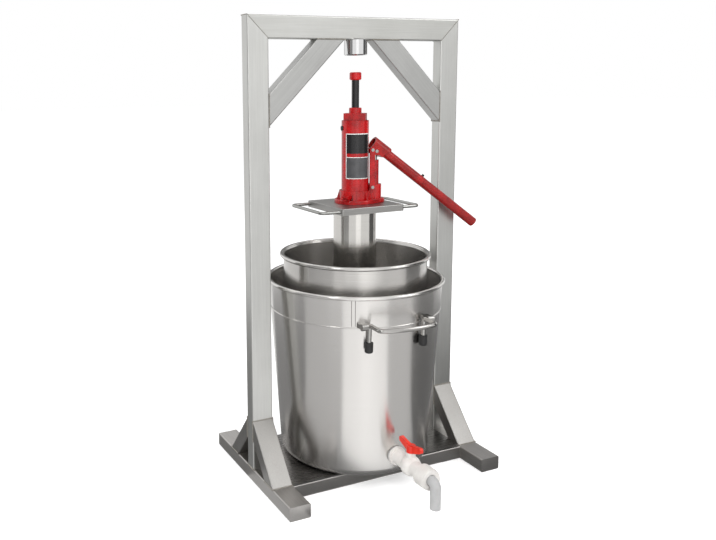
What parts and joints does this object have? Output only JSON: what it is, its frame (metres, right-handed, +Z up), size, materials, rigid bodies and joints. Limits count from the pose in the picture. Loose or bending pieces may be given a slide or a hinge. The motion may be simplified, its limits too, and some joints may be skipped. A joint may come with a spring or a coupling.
{
  "type": "hydraulic fruit press",
  "caption": "Hydraulic fruit press: a hand-pumped red bottle jack pushes a disc into a basket inside a steel pot, under a stainless frame, with a drain valve and spout in front.",
  "frame": {"origin": "on the floor under the pressing axis, midway between the two uprights", "axes": "+Z up along the pressing axis, +X towards the right upright, -Y towards the front, where the drain valve points"},
  "size_m": [0.4666, 0.4754, 0.84],
  "materials": {
    "stainless_satin": "satin brushed stainless tube and sheet",
    "stainless_polished": "polished stainless with fine turning lines",
    "stainless_basket": "bright brushed stainless",
    "chrome": "bright chrome plate",
    "jack_red": "glossy enamel",
    "handle_red": "satin enamel",
    "black_steel": "black oxide",
    "machined_steel": "machined and ground",
    "dark_wire": "drawn wire",
    "valve_white": "moulded PVC, satin",
    "grip_red": "moulded",
    "spout_grey": "moulded, slightly see-through",
    "black_rubber": "matte"
  },
  "bodies": {
    "frame": {"upright_left": "stainless_satin", "upright_right": "stainless_satin", "top_beam": "stainless_satin", "corner_brace_left": "stainless_satin", "corner_brace_right": "stainless_satin", "foot_brace_front_left": "stainless_satin", "foot_brace_front_right": "stainless_satin", "foot_brace_rear_left": "stainless_satin", "foot_brace_rear_right": "stainless_satin", "floor_frame": "stainless_satin", "base_plate": "stainless_satin", "rail_end_caps": "stainless_satin", "ram_socket_ring": "chrome"},
    "pot": {"pot_shell": "stainless_polished", "handle_lugs_front": "stainless_satin", "handle_lugs_rear": "stainless_satin", "drain_back_nut": "stainless_satin", "drain_gasket": "black_rubber", "valve_body": "valve_white", "union_nut": "valve_white", "spout_elbow": "spout_grey"},
    "pot_handle_front": {"pot_handle_front": "stainless_polished", "handle_feet_front": "black_rubber"},
    "pot_handle_rear": {"pot_handle_rear": "stainless_polished", "handle_feet_rear": "black_rubber"},
    "valve_plug": {"valve_ball": "valve_white", "valve_stem": "valve_white", "valve_grip": "grip_red"},
    "basket": {"basket_shell": "stainless_basket", "basket_feet": "stainless_basket"},
    "press": {"press_disc": "stainless_basket", "press_tube": "stainless_basket", "press_tray": "stainless_satin", "tray_handle_left": "dark_wire", "tray_handle_right": "dark_wire"},
    "jack": {"jack_base": "jack_red", "oil_reservoir": "jack_red", "top_nut": "jack_red", "pump_body": "jack_red", "fulcrum_links": "jack_red", "filler_plug": "black_rubber", "pressure_cylinder": "machined_steel", "link_foot_pin": "machined_steel", "fulcrum_pin": "machined_steel"},
    "release_valve": {"release_valve": "machined_steel"},
    "ram": {"ram": "jack_red"},
    "screw": {"extension_screw": "black_steel", "jack_head": "jack_red"},
    "lever": {"lever_socket": "jack_red"},
    "plunger": {"pump_plunger": "machined_steel", "plunger_pin": "machined_steel"},
    "handle_inner": {"handle_inner_tube": "handle_red", "handle_clip": "black_steel"},
    "handle_outer": {"handle_outer_tube": "handle_red"}
  },
  "joints": [
    {"name": "pot_slide", "type": "slide", "parent": "frame", "child": "pot", "axis": [0, -1, 0], "range_m": [0, 0.33]},
    {"name": "pot_handle_front_swing", "type": "hinge", "parent": "pot", "child": "pot_handle_front", "pos_m": [-0.01121, -0.16027, 0.31504], "axis": [-0.9976, 0.0698, 0], "range_deg": [0, 70]},
    {"name": "pot_handle_rear_swing", "type": "hinge", "parent": "pot", "child": "pot_handle_rear", "pos_m": [0.01121, 0.16027, 0.31504], "axis": [0.9976, -0.0698, 0], "range_deg": [0, 70]},
    {"name": "valve_turn", "type": "hinge", "parent": "pot", "child": "valve_plug", "pos_m": [0, -0.18863, 0.0663], "axis": [0, 0, 1], "range_deg": [0, 90]},
    {"name": "basket_lift", "type": "slide", "parent": "pot", "child": "basket", "axis": [0, 0, 1], "range_m": [0, 0.07]},
    {"name": "press_slide", "type": "slide", "parent": "pot", "child": "press", "axis": [0, 0, 1], "range_m": [-0.1, 0.045]},
    {"name": "jack_lift", "type": "slide", "parent": "press", "child": "jack", "axis": [0, 0, 1], "range_m": [0, 0.045]},
    {"name": "ram_rise", "type": "slide", "parent": "jack", "child": "ram", "axis": [0, 0, 1], "range_m": [0, 0.055]},
    {"name": "screw_rise", "type": "slide", "parent": "ram", "child": "screw", "axis": [0, 0, 1], "range_m": [-0.048, 0.01]},
    {"name": "lever_swing", "type": "hinge", "parent": "jack", "child": "lever", "pos_m": [0.02757, -0.00486, 0.6008], "axis": [-0.1736, -0.9848, 0], "range_deg": [0, 32]},
    {"name": "plunger_rise", "type": "slide", "parent": "jack", "child": "plunger", "axis": [0, 0, 1], "range_m": [0, 0.00603]},
    {"name": "handle_pull", "type": "slide", "parent": "lever", "child": "handle_inner", "axis": [0.7823, -0.138, -0.6074], "range_m": [0, 0.04]},
    {"name": "handle_split", "type": "slide", "parent": "handle_inner", "child": "handle_outer", "axis": [0.7823, -0.138, -0.6074], "range_m": [0, 0.03]},
    {"name": "release_turn", "type": "hinge", "parent": "jack", "child": "release_valve", "pos_m": [0, 0, 0.5153], "axis": [-0.8192, -0.5736, 0], "range_deg": [0, 180]}
  ],
  "couplings": [
    {"joint": "plunger_rise", "follows": "lever_swing", "m_per_rad": 0.010782}
  ]
}
